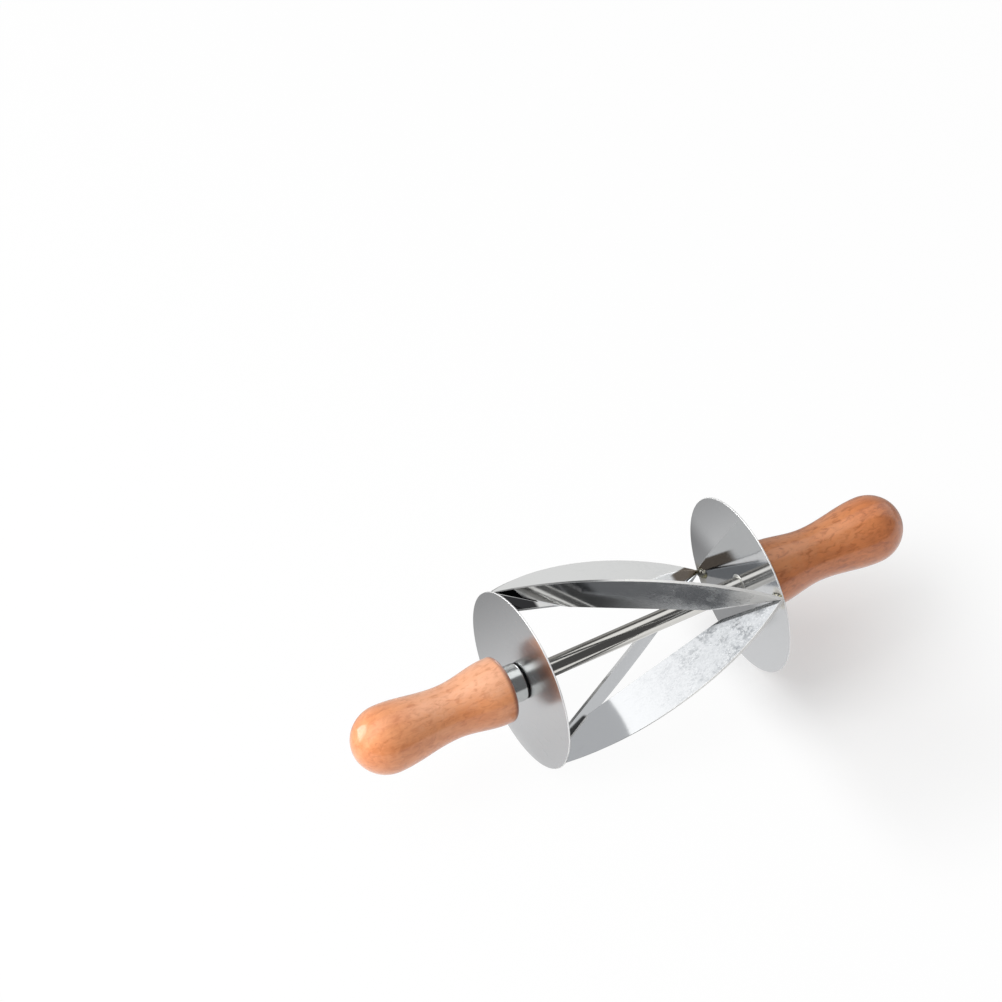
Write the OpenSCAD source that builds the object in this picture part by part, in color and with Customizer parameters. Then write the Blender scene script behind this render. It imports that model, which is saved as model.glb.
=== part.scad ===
// Croissant cutter roller: a cage of slanting blades between two discs, spinning on a rod.
// A turned wooden handle sits on each end of the rod.
// The rod runs along X, the origin is at the middle of the cage on the rod's axis, and Z is up.
// Angles round the rod start at the back, +Y, and rise towards the top, +Z.

/* [Cage] */
// Diameter of both end discs and of the circle that the blades' outer edges lie on
disc_diameter = 86; // [70:1:110]
// Distance between the outer faces of the two discs
cage_length = 116.8; // [95:0.2:150]
// Thickness of each disc
disc_thickness = 0.8; // [0.7:0.1:2]
// Bevel that breaks both edges of each disc
disc_edge_bevel = 0.3; // [0.1:0.05:0.3]
// Angle of the upper blade point on the left disc when the tool lies at rest
cage_turn = 58; // [0:1:359]

/* [Blades] */
// Thickness of the blade sheet
blade_thickness = 1.2; // [0.8:0.1:2]
// Distance from the rod's axis to the straight inner edge of each blade
blade_inner_reach = 20.7; // [15:0.1:25]
// Length of the straight inner edge of a blade that is pointed at both ends
blade_inner_length = 74; // [50:1:90]
// Width that a blade's point still has where it meets its disc
blade_point_land = 0.6; // [0.3:0.1:1.5]
// Degrees that the back blades swing away from the front blades' left points
back_blade_swing = 1.1; // [0:0.1:1.6]

/* [Welds] */
// Width of one weld puddle on the disc
weld_width = 5; // [3:0.1:6]
// Height of one weld puddle over the disc
weld_height = 1.5; // [0.8:0.1:2]
// Distance from one puddle to the next, towards the rod
weld_pitch = 2.2; // [1.4:0.1:3]
// Distance from the disc's rim to the first puddle's centre
weld_setback = 2.6; // [2.5:0.1:5]
// Number of puddles in each weld
weld_puddles = 3; // [2:1:4]

/* [Rod and bushes] */
// Diameter of the rod
rod_diameter = 9; // [7:0.1:11]
// Bevel on the rod's ends
rod_end_bevel = 0.6; // [0.3:0.1:1]
// Wall of each bush
bush_wall = 1; // [0.8:0.1:1.6]
// Length of each bush that stands inside its disc
bush_lip_length = 0.2; // [0.1:0.1:2]
// Diameter of each bush's outer flange
bush_flange_diameter = 14; // [13:0.5:17]
// Thickness of each bush's outer flange
bush_flange_thickness = 0.3; // [0.2:0.1:1]
// Diameter of each thrust washer
washer_diameter = 17.4; // [15:0.2:20]
// Thickness of each thrust washer
washer_thickness = 0.3; // [0.2:0.1:1.5]

/* [Ferrules and inserts] */
// Diameter of each ferrule
ferrule_diameter = 18; // [17:0.2:22]
// Length of each ferrule
ferrule_length = 8.3; // [6:0.1:14]
// Wall and end thickness of each ferrule
ferrule_wall = 0.9; // [0.6:0.1:1.2]
// Rounding of each ferrule's edge beside the disc
ferrule_edge_round = 0.8; // [0.4:0.1:0.85]
// Diameter of the insert that holds the rod in each handle
insert_diameter = 12.6; // [11.6:0.1:14]
// Length of that insert
insert_length = 25; // [16:1:34]

/* [Handles] */
// Length of each handle from its shoulder to its tip
handle_length = 76.6; // [66:0.2:100]
// Diameter of the shoulder beside the ferrule
shoulder_diameter = 31.6; // [26:0.2:36]
// Rounding of the shoulder's edge
shoulder_round = 2.2; // [1:0.1:4]
// Length of the shoulder before it starts to narrow
shoulder_length = 3.6; // [2.4:0.1:8]
// Diameter of the waist
waist_diameter = 25.6; // [21:0.2:30]
// Distance from the shoulder's face to the waist
waist_distance = 28.6; // [20:0.2:36]
// Diameter of the knob
knob_diameter = 32; // [26:0.2:38]
// Length of the domed end beyond the knob's widest place
dome_length = 16.7; // [12:0.1:22]

/* [Hidden] */
$fn = 96;

// Clearances, all of them radial apart from the end play
running_clearance = 0.05;
seat_clearance = 0.03;
// Free play along the rod between a bush's flange and its washer
end_play = 0.1;
// Room past the insert at the bottom of a handle's hole
hole_end_room = 1.5;
// How far a cutting shape runs past what it cuts
overrun = 2;
// How far a blade's blank runs past its point, as a share of the slanting end
blank_end_share = 1.15;
// Steps along each rounded stretch of a turned profile
round_steps = 8;
curve_steps = 16;

// Radii
disc_radius = disc_diameter / 2;
rod_radius = rod_diameter / 2;
bush_radius = rod_radius + running_clearance + bush_wall;
ferrule_radius = ferrule_diameter / 2;
tenon_radius = ferrule_radius - ferrule_wall - seat_clearance;
insert_radius = insert_diameter / 2;
shoulder_radius = shoulder_diameter / 2;
waist_radius = waist_diameter / 2;
knob_radius = knob_diameter / 2;

// Places along the rod, on the right-hand half
disc_outer_x = cage_length / 2;
disc_inner_x = disc_outer_x - disc_thickness;
bush_inner_x = disc_inner_x - bush_lip_length;
flange_outer_x = disc_outer_x + bush_flange_thickness;
washer_x = flange_outer_x + end_play;
ferrule_x = washer_x + washer_thickness;
tenon_x = ferrule_x + ferrule_wall;
handle_x = ferrule_x + ferrule_length;
rod_end_x = tenon_x + insert_length;
knob_distance = handle_length - dome_length;

// Each blade turns a quarter of the way round the rod from one disc to the other.
// It does so in one flat plane through the cage's middle.
quarter = 90;
point_out = disc_radius * cos(quarter / 2);
point_across = disc_radius * sin(quarter / 2);
point_along = norm([disc_inner_x, point_across]);
blade_slant = atan(point_across / disc_inner_x);

// The back blades swing about their right-hand points, so their planes pass beside the cage's middle
back_slant = blade_slant - back_blade_swing;
back_shift = point_along * sin(back_blade_swing);
back_across = disc_inner_x * tan(back_slant) - back_shift / cos(back_slant);

// Angles of the blade points, and of the middles of the blades between them
left_top = cage_turn;
right_front = left_top + quarter;
left_bottom = right_front + quarter;
right_back = left_bottom + quarter;
upper_front = left_top + quarter / 2;
lower_front = right_front + quarter / 2;
lower_back = left_bottom + quarter / 2;
upper_back = left_top - quarter / 2;

// Point that lies a share of the way from one point to another
function towards(from, to, share) = from + share * (to - from);

// Smooth S-shaped stretch of a turned profile, as [radius, along] points
function s_curve(from, to) = [
    for (i = [1:curve_steps])
        let (done = i / curve_steps)
        [towards(from[0], to[0], (1 - cos(180 * done)) / 2), towards(from[1], to[1], done)]
];

// Quarter of an ellipse about a centre, from its end on the axis side to its widest place
function rising_round(centre, out, along) = [
    for (i = [0:round_steps])
        let (turn = 90 * i / round_steps)
        [centre[0] + out * sin(turn), centre[1] - along * cos(turn)]
];

// Domed end from its widest place to its tip on the axis
function dome(centre, out, along) = [
    for (i = [1:curve_steps])
        let (turn = 90 * i / curve_steps)
        [centre[0] + out * cos(turn), centre[1] + along * sin(turn)]
];

// Solid of revolution about the rod, from [radius, along] points
module turned(outline) {
    rotate([0, 90, 0])
        rotate_extrude()
            polygon(outline);
}

// Plain ring about the rod between two places along it
module ring(inner_radius, outer_radius, from_x, to_x) {
    turned([
        [inner_radius, from_x],
        [outer_radius, from_x],
        [outer_radius, to_x],
        [inner_radius, to_x]
    ]);
}

// The same piece on the left-hand half
module on_left() {
    mirror([1, 0, 0])
        children();
}

module rod_shape() {
    shank = rod_end_x - rod_end_bevel;
    turned([
        [0, -rod_end_x],
        [rod_radius - rod_end_bevel, -rod_end_x],
        [rod_radius, -shank],
        [rod_radius, shank],
        [rod_radius - rod_end_bevel, rod_end_x],
        [0, rod_end_x]
    ]);
}

// Turned handle: tenon, rounded shoulder, waist, knob and domed end, with a blind hole for the insert
module handle_shape() {
    hole_radius = insert_radius + seat_clearance;
    hole_end = rod_end_x + hole_end_room;
    shoulder = [shoulder_radius, handle_x + shoulder_length];
    waist = [waist_radius, handle_x + waist_distance];
    knob = [knob_radius, handle_x + knob_distance];
    edge = [shoulder_radius - shoulder_round, handle_x + shoulder_round];
    turned(concat(
        [[hole_radius, tenon_x], [tenon_radius, tenon_x], [tenon_radius, handle_x]],
        rising_round(edge, shoulder_round, shoulder_round),
        [shoulder],
        s_curve(shoulder, waist),
        s_curve(waist, knob),
        dome([0, knob[1]], knob_radius, dome_length),
        [[0, hole_end], [hole_radius, hole_end]]
    ));
}

module insert_shape() {
    ring(rod_radius + seat_clearance, insert_radius, tenon_x, rod_end_x);
}

// Drawn cap over the handle's tenon, with a hole for the rod and a rounded edge beside the disc
module ferrule_shape() {
    inner_radius = ferrule_radius - ferrule_wall;
    edge = [ferrule_radius - ferrule_edge_round, ferrule_x + ferrule_edge_round];
    turned(concat(
        [[rod_radius + seat_clearance, ferrule_x]],
        rising_round(edge, ferrule_edge_round, ferrule_edge_round),
        [
            [ferrule_radius, handle_x],
            [inner_radius, handle_x],
            [inner_radius, tenon_x],
            [rod_radius + seat_clearance, tenon_x]
        ]
    ));
}

module washer_shape() {
    ring(rod_radius + running_clearance, washer_diameter / 2, washer_x, ferrule_x);
}

// Flanged bush pressed through the disc, with its flange towards the washer
module bush_shape() {
    bore_radius = rod_radius + running_clearance;
    turned([
        [bore_radius, bush_inner_x],
        [bush_radius, bush_inner_x],
        [bush_radius, disc_outer_x],
        [bush_flange_diameter / 2, disc_outer_x],
        [bush_flange_diameter / 2, flange_outer_x],
        [bore_radius, flange_outer_x]
    ]);
}

module disc_shape() {
    hole_radius = bush_radius + seat_clearance;
    bevel_radius = disc_radius - disc_edge_bevel;
    turned([
        [hole_radius, disc_inner_x],
        [bevel_radius, disc_inner_x],
        [disc_radius, disc_inner_x + disc_edge_bevel],
        [disc_radius, disc_outer_x - disc_edge_bevel],
        [bevel_radius, disc_outer_x],
        [hole_radius, disc_outer_x]
    ]);
}

// Space between the discs, out to their diameter
module cage_space() {
    rotate([0, 90, 0])
        cylinder(r = disc_radius, h = 2 * disc_inner_x, center = true);
}

// Half of the space round the rod: the half turn that follows an angle
module half_turn_after(angle) {
    rotate([angle, 0, 0])
        translate([-cage_length, -disc_diameter, 0])
            cube([2 * cage_length, 2 * disc_diameter, disc_diameter]);
}

// Flat blade blank as [along, out] points in the blade's own plane; its left end is pointed or square
function blank_outline(square_left) =
    let (
        corner = [blade_inner_length / 2, blade_inner_reach],
        point = [point_along, point_out - blade_point_land],
        end = towards(corner, point, blank_end_share),
        top = disc_radius + overrun
    )
    concat(
        square_left
            ? [[-end[0], blade_inner_reach]]
            : [[-end[0], end[1]], [-corner[0], blade_inner_reach]],
        [corner, end, [end[0], top], [-end[0], top]]
    );

// Blade sheet in its own along, through and out directions
module blade_blank(square_left) {
    rotate([90, 0, 0])
        linear_extrude(height = blade_thickness, center = true)
            polygon(blank_outline(square_left));
}

// Children put where a front blade stands: at an angle round the rod, slanting one way or the other
module at_front_blade(middle, slant) {
    rotate([middle - quarter, 0, 0])
        rotate([0, 0, slant])
            children();
}

// Children put where a back blade stands, hand being 1 or -1 for the way it slants
module at_back_blade(middle, hand) {
    rotate([middle - quarter, 0, 0])
        rotate([0, 0, hand * back_slant])
            translate([0, hand * back_shift, 0])
                children();
}

// All that lies on one side of a back blade's sheet, from its near face or its far face outwards
module side_of_back_blade(middle, hand, from_offset) {
    reach = 2 * cage_length;
    at_back_blade(middle, hand)
        mirror([0, hand > 0 ? 0 : 1, 0])
            translate([-reach, from_offset, -reach])
                cube([2 * reach, reach, 2 * reach]);
}

// The two back blades run on to the left disc and are mitred where they meet on the right disc
module upper_back_shape() {
    intersection() {
        at_back_blade(upper_back, 1) blade_blank(true);
        cage_space();
        half_turn_after(right_back);
    }
}

module lower_back_shape() {
    intersection() {
        at_back_blade(lower_back, -1) blade_blank(true);
        cage_space();
        half_turn_after(right_front);
    }
}

// The two front blades are pointed at both ends.
// They are mitred where they meet on the right disc and stop at or before a back blade on the left.
module upper_front_shape() {
    difference() {
        intersection() {
            at_front_blade(upper_front, -blade_slant) blade_blank(false);
            cage_space();
            half_turn_after(right_back);
        }
        side_of_back_blade(upper_back, 1, -blade_thickness / 2);
    }
}

module lower_front_shape() {
    difference() {
        intersection() {
            at_front_blade(lower_front, blade_slant) blade_blank(false);
            cage_space();
            half_turn_after(right_front);
        }
        side_of_back_blade(lower_back, -1, -blade_thickness / 2);
    }
}

// Low round puddle of weld on the inner face of the right disc
module puddle() {
    base_radius = weld_width / 2;
    puddle_radius = (base_radius * base_radius + weld_height * weld_height) / (2 * weld_height);
    translate([disc_inner_x - weld_height + puddle_radius, 0, 0])
        sphere(r = puddle_radius);
}

// Row of puddles on the right disc from a blade point towards the rod, clear of the child blades
module point_weld(angle) {
    difference() {
        intersection() {
            rotate([angle, 0, 0])
                for (i = [0:weld_puddles - 1])
                    translate([0, disc_radius - weld_setback - i * weld_pitch, 0])
                        puddle();
            cage_space();
        }
        children();
    }
}

// Row of puddles in the corner between the left disc and the square end of a back blade
module seam_weld(middle, hand) {
    corner = back_across - blade_thickness / 2 / cos(back_slant);
    intersection() {
        rotate([middle, 0, 0])
            for (i = [0:weld_puddles - 1])
                translate([0, point_out - weld_setback - i * weld_pitch, hand * corner])
                    on_left() puddle();
        cage_space();
        side_of_back_blade(middle, hand, blade_thickness / 2);
    }
}

module axle_rod() { color([0.78, 0.78, 0.76]) rod_shape(); }

module left_handle() { color([0.88, 0.58, 0.40]) on_left() handle_shape(); }

module right_handle() { color([0.82, 0.52, 0.36]) handle_shape(); }

module left_handle_insert() { color([0.78, 0.62, 0.30]) on_left() insert_shape(); }

module right_handle_insert() { color([0.78, 0.62, 0.30]) insert_shape(); }

module left_ferrule() { color([0.80, 0.82, 0.82]) on_left() ferrule_shape(); }

module right_ferrule() { color([0.80, 0.82, 0.82]) ferrule_shape(); }

module left_thrust_washer() { color([0.08, 0.08, 0.09]) on_left() washer_shape(); }

module right_thrust_washer() { color([0.08, 0.08, 0.09]) washer_shape(); }

module left_hub_bush() { color([0.66, 0.66, 0.64]) on_left() bush_shape(); }

module right_hub_bush() { color([0.66, 0.66, 0.64]) bush_shape(); }

module left_disc() { color([0.76, 0.77, 0.78]) on_left() disc_shape(); }

module right_disc() { color([0.76, 0.77, 0.78]) disc_shape(); }

module upper_front_blade() { color([0.62, 0.63, 0.64]) upper_front_shape(); }

module upper_back_blade() { color([0.84, 0.84, 0.83]) upper_back_shape(); }

module lower_front_blade() { color([0.88, 0.89, 0.90]) lower_front_shape(); }

module lower_back_blade() { color([0.70, 0.71, 0.75]) lower_back_shape(); }

module left_top_weld() { color([0.56, 0.50, 0.40]) seam_weld(upper_back, 1); }

module left_bottom_weld() { color([0.56, 0.50, 0.40]) seam_weld(lower_back, -1); }

module right_front_weld() {
    color([0.56, 0.50, 0.40])
        point_weld(right_front) {
            upper_front_shape();
            lower_front_shape();
        }
}

module right_back_weld() {
    color([0.56, 0.50, 0.40])
        point_weld(right_back) {
            upper_back_shape();
            lower_back_shape();
        }
}

axle_rod();
left_handle();
right_handle();
left_handle_insert();
right_handle_insert();
left_ferrule();
right_ferrule();
left_thrust_washer();
right_thrust_washer();
left_hub_bush();
right_hub_bush();
left_disc();
right_disc();
upper_front_blade();
upper_back_blade();
lower_front_blade();
lower_back_blade();
left_top_weld();
left_bottom_weld();
right_front_weld();
right_back_weld();
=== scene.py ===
"""Looks of a croissant cutter roller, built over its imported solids.

Lengths in the classes are millimetres, as in the part's source, and meshes are metres in the part's frame:
the rod runs along X, the worktop lies below at -Z, and angles round the rod start at +Y and rise towards +Z.
"""

import logging
import math
from collections.abc import Mapping, Sequence
from dataclasses import dataclass
from enum import Enum
from typing import ClassVar

import bmesh
import bpy
from mathutils import Matrix, Vector, noise


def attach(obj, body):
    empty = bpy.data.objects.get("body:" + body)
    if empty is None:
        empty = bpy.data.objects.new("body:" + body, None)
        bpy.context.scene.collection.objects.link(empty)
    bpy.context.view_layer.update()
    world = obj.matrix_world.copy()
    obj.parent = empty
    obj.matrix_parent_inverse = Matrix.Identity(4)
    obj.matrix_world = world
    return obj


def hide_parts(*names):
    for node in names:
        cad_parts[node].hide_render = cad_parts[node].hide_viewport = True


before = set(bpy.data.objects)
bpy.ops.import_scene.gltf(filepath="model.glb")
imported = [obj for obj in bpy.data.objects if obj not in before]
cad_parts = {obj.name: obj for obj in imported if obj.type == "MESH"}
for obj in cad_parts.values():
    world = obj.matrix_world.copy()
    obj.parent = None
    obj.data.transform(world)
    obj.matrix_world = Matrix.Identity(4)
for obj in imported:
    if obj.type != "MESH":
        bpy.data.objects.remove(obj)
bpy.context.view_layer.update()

MM = 0.001
FINE_RELIEF = 0.00001
ON_AXIS = 1e-6
CUT_SLACK = 1e-7
BLADE_SLACK = 2e-6
BEAD_SLACK = 1e-6
LOG = logging.getLogger("roller")

Triple = tuple[float, float, float]
Colour = Triple
Span = tuple[float, float]
ProfilePoint = Span

EVEN: Triple = (1.0, 1.0, 1.0)
ORIGIN: Triple = (0.0, 0.0, 0.0)
WHITE: Colour = (1.0, 1.0, 1.0)
BLACK: Colour = (0.0, 0.0, 0.0)


class Side(Enum):
    """End of the rod that a piece sits on, as the sign of its place along X."""

    LEFT = -1
    RIGHT = 1

    @property
    def word(self) -> str:
        """Name of the side as it starts a node's name."""
        return self.name.lower()


class Shade:
    """Output socket of a shader graph, with arithmetic that adds Math nodes."""

    def __init__(self, graph: "Graph", socket: bpy.types.NodeSocket) -> None:
        """Keep the graph and the socket."""
        self.graph = graph
        self.socket = socket

    def maths(self, operation: str, first: "Shade | float", second: "Shade | float" = 0.0) -> "Shade":
        """Add a Math node of two values or links."""
        return self.graph.node("ShaderNodeMath", {"operation": operation}, {0: first, 1: second})

    def __add__(self, other: "Shade | float") -> "Shade":
        """Sum of this value and another."""
        return self.maths("ADD", self, other)

    def __radd__(self, other: float) -> "Shade":
        """Sum of a number and this value."""
        return self.maths("ADD", other, self)

    def __sub__(self, other: "Shade | float") -> "Shade":
        """This value less another."""
        return self.maths("SUBTRACT", self, other)

    def __rsub__(self, other: float) -> "Shade":
        """A number less this value."""
        return self.maths("SUBTRACT", other, self)

    def __mul__(self, other: "Shade | float") -> "Shade":
        """Product of this value and another."""
        return self.maths("MULTIPLY", self, other)

    def __rmul__(self, other: float) -> "Shade":
        """Product of a number and this value."""
        return self.maths("MULTIPLY", other, self)

    def __abs__(self) -> "Shade":
        """Size of this value without its sign."""
        return self.maths("ABSOLUTE", self)

    def least(self, other: "Shade | float") -> "Shade":
        """Smaller of this value and another."""
        return self.maths("MINIMUM", self, other)

    def most(self, other: "Shade | float") -> "Shade":
        """Larger of this value and another."""
        return self.maths("MAXIMUM", self, other)

    def ramp(self, start: float, end: float, low: float = 0.0, high: float = 1.0) -> "Shade":
        """Smooth step from low to high while this value goes from start to end."""
        settings = {"interpolation_type": "SMOOTHSTEP"}
        return self.graph.node("ShaderNodeMapRange", settings, {0: self, 1: start, 2: end, 3: low, 4: high})


Feed = Shade | float | Sequence[float]


class Graph:
    """Node tree of a material or of the world, filled from Python expressions."""

    def __init__(self, tree: bpy.types.NodeTree) -> None:
        """Empty the tree and keep it."""
        tree.nodes.clear()
        self.tree = tree

    def node(
        self,
        kind: str,
        settings: Mapping[str, object] | None = None,
        inputs: Mapping[int | str, Feed] | None = None,
        output: int | str = 0,
    ) -> Shade:
        """Add any node.

        Args:
            kind: The node's type.
            settings: Its properties, set before its sockets.
            inputs: Values or links of its input sockets, by number or name.
            output: The output socket to hand back.

        Returns:
            That output socket.
        """
        made = self.tree.nodes.new(kind)
        for key, value in (settings or {}).items():
            setattr(made, key, value)
        for key, value in (inputs or {}).items():
            self.feed(made.inputs[key], value)
        return Shade(self, made.outputs[output]) if made.outputs else Shade(self, made.inputs[0])

    def feed(self, socket: bpy.types.NodeSocket, value: Feed) -> None:
        """Link or set one input socket.

        Args:
            socket: The input socket.
            value: A link, a number, or the parts of a vector or colour.
        """
        if isinstance(value, Shade):
            self.tree.links.new(value.socket, socket)
        elif socket.type == "RGBA":
            socket.default_value = (*value, 1.0)
        else:
            socket.default_value = value

    def blend(self, share: Shade | float, first: Feed, second: Feed) -> Shade:
        """Mix a share of the second colour into the first."""
        return self.node("ShaderNodeMix", {"data_type": "RGBA"}, {0: share, 6: first, 7: second}, 2)

    def tint(self, share: Shade | float, first: Feed, second: Feed) -> Shade:
        """Multiply the first colour by a share of the second."""
        settings = {"data_type": "RGBA", "blend_type": "MULTIPLY"}
        return self.node("ShaderNodeMix", settings, {0: share, 6: first, 7: second}, 2)

    def vector(self, operation: str, inputs: Mapping[int | str, Feed], output: int | str = 0) -> Shade:
        """Add a Vector Math node."""
        return self.node("ShaderNodeVectorMath", {"operation": operation}, inputs, output)

    def stretched(self, point: Shade, stretch: Triple, shift: Triple) -> Shade:
        """Point in metres turned into millimetres, stretched and shifted."""
        factors = tuple(factor / MM for factor in stretch)
        return self.vector("MULTIPLY_ADD", {0: point, 1: factors, 2: shift})

    def place(self, stretch: Triple = EVEN, shift: Triple = ORIGIN) -> Shade:
        """Point on the piece in millimetres, stretched and shifted."""
        return self.stretched(self.node("ShaderNodeTexCoord", output="Object"), stretch, shift)

    def sheet_place(self, stretch: Triple, shift: Triple = ORIGIN) -> Shade:
        """Point in a blade's own plane in millimetres, as along, out and through, stretched and shifted."""
        point = self.node("ShaderNodeAttribute", {"attribute_name": "sheet"}, output="Vector")
        return self.stretched(point, stretch, shift)

    def axis(self, point: Shade, name: str) -> Shade:
        """One part of a vector, by its letter."""
        return self.node("ShaderNodeSeparateXYZ", inputs={0: point}, output=name)

    def rays(self) -> tuple[Shade, ...]:
        """Whether a ray is seen by the camera, mirrored or let through."""
        kinds = ("Is Camera Ray", "Is Glossy Ray", "Is Transmission Ray")
        return tuple(self.node("ShaderNodeLightPath", output=kind) for kind in kinds)

    def clouds(self, point: Shade, detail: float = 2.0, distortion: float = 0.0, scale: float = 1.0) -> Shade:
        """Soft noise, about 0.5 on average, with finer layers by detail and bent places by distortion."""
        inputs = {"Vector": point, "Scale": scale, "Detail": detail, "Distortion": distortion}
        return self.node("ShaderNodeTexNoise", inputs=inputs, output="Fac")

    def cells(self, point: Shade, output: str = "Color", feature: str = "F1") -> Shade:
        """Cell pattern: Color is a tone of each cell, Distance the way to its middle."""
        return self.node("ShaderNodeTexVoronoi", {"feature": feature}, {"Vector": point, "Scale": 1.0}, output)

    def relief(self, height: Shade, distance: float, strength: float = 1.0, under: Shade | None = None) -> Shade:
        """Bump from a height.

        Args:
            height: The height, in parts of the distance.
            distance: Depth of the relief in metres.
            strength: How much of it counts.
            under: Normal of a coarser relief below it.

        Returns:
            The bent normal.
        """
        inputs: dict[int | str, Feed] = {"Height": height, "Distance": distance, "Strength": strength}
        if under is not None:
            inputs["Normal"] = under
        return self.node("ShaderNodeBump", inputs=inputs)

    def surface(self, inputs: Mapping[str, Feed]) -> None:
        """Close the tree with a principled surface whose sockets are given by name."""
        shader = self.node("ShaderNodeBsdfPrincipled", inputs=inputs)
        self.node("ShaderNodeOutputMaterial", inputs={"Surface": shader})


@dataclass(frozen=True)
class Finish:
    """Base of all finishes: a named procedural material."""

    label: str

    def paint(self, graph: Graph) -> None:
        """Fill the material's graph; each finish has its own."""
        raise NotImplementedError

    def material(self) -> bpy.types.Material:
        """Make the material once and hand it back.

        Returns:
            The material, new or made before.
        """
        made = bpy.data.materials.get(self.label)
        if made is None:
            made = bpy.data.materials.new(self.label)
            made.use_nodes = True
            self.paint(Graph(made.node_tree))
        return made


@dataclass(frozen=True)
class LacqueredBeech(Finish):
    """Clear-lacquered beech with mottled figure, ray flecks, fine pores and a painted paler top that stands for the
    light from above.
    """

    pale: Colour = (0.92, 0.385, 0.17)
    deep: Colour = (0.72, 0.235, 0.076)
    ray: Colour = (0.56, 0.155, 0.046)
    sap: Colour = (0.98, 0.535, 0.335)
    figure: float = 0.5
    pore_share: float = 0.35
    shift: float = 0.0
    end_shadow_edge: float = 68.6
    end_fade: float = 2.2
    painted_end_shadow: Colour = (0.46, 0.36, 0.33)
    sheen: Colour = (1.0, 0.90, 0.85)
    sap_share: float = 0.65
    sap_heights: Span = (6.5, 14.0)
    knob_fade: Span = (128.0, 104.0)
    depth: float = 0.00005

    def paint(self, graph: Graph) -> None:
        """Lay figure, a painted paler top, a painted shadow on the shoulder's face, flecks and pores under the
        lacquer.

        Args:
            graph: The material's graph.
        """
        shift = (self.shift, 2.3 * self.shift, 0.7 * self.shift)
        broad = graph.clouds(graph.place((0.035, 0.11, 0.11), shift), 3.0, 0.8)
        streak = graph.clouds(graph.place((0.05, 0.8, 0.8), shift), 3.0, 0.4)
        wavy = graph.clouds(graph.place((0.24, 0.52, 0.52), shift), 3.0, 0.6)
        fine = graph.clouds(graph.place((0.5, 2.6, 2.6), shift))
        pores = graph.clouds(graph.place((0.42, 1.7, 1.7), shift), 1.0)
        mottle = graph.clouds(graph.place((0.22, 0.3, 0.3), shift), 3.0, 1.0)
        tone = 0.42 * broad.ramp(0.32, 0.68) + 0.24 * streak.ramp(0.3, 0.72) + 0.30 * mottle.ramp(0.36, 0.64)
        tone = (tone + 0.12 * fine).least(1.0)
        wood = graph.blend(tone, self.pale, self.deep)
        # Painted light: the upper side is paler, by height and fading towards the knob, standing for the light that
        # falls from above.
        point = graph.place()
        height = graph.axis(point, "Z") + 9.0 * (mottle - 0.5)
        along = abs(graph.axis(point, "X"))
        painted_top = self.sap_share * height.ramp(*self.sap_heights) * along.ramp(*self.knob_fade, 0.2, 1.0)
        wood = graph.blend(painted_top, wood, self.sap)
        fleck = wavy.ramp(0.45, 0.76)
        wood = graph.blend(self.figure * fleck, wood, self.ray)
        pore = pores.ramp(0.64, 0.78) * streak.ramp(0.3, 0.6)
        wood = graph.blend(self.pore_share * pore, wood, self.ray)
        # Painted shadow: the shoulder's face beside the ferrule is darkened as if in shade; this also stands for
        # its darker end grain.
        wood = graph.tint(along.ramp(self.end_shadow_edge + self.end_fade, self.end_shadow_edge), wood, self.painted_end_shadow)
        grain = 0.5 * fine + 0.3 * streak - 0.3 * fleck - 0.6 * pore
        graph.surface({
            "Base Color": wood,
            "Roughness": 0.40 + 0.14 * fine - 0.05 * fleck,
            "Specular IOR Level": 0.5,
            "Coat Weight": 0.8,
            "Coat Roughness": 0.12,
            "Sheen Weight": 0.3,
            "Sheen Roughness": 0.4,
            "Sheen Tint": self.sheen,
            "Normal": graph.relief(grain, self.depth, 0.5),
        })


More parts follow.
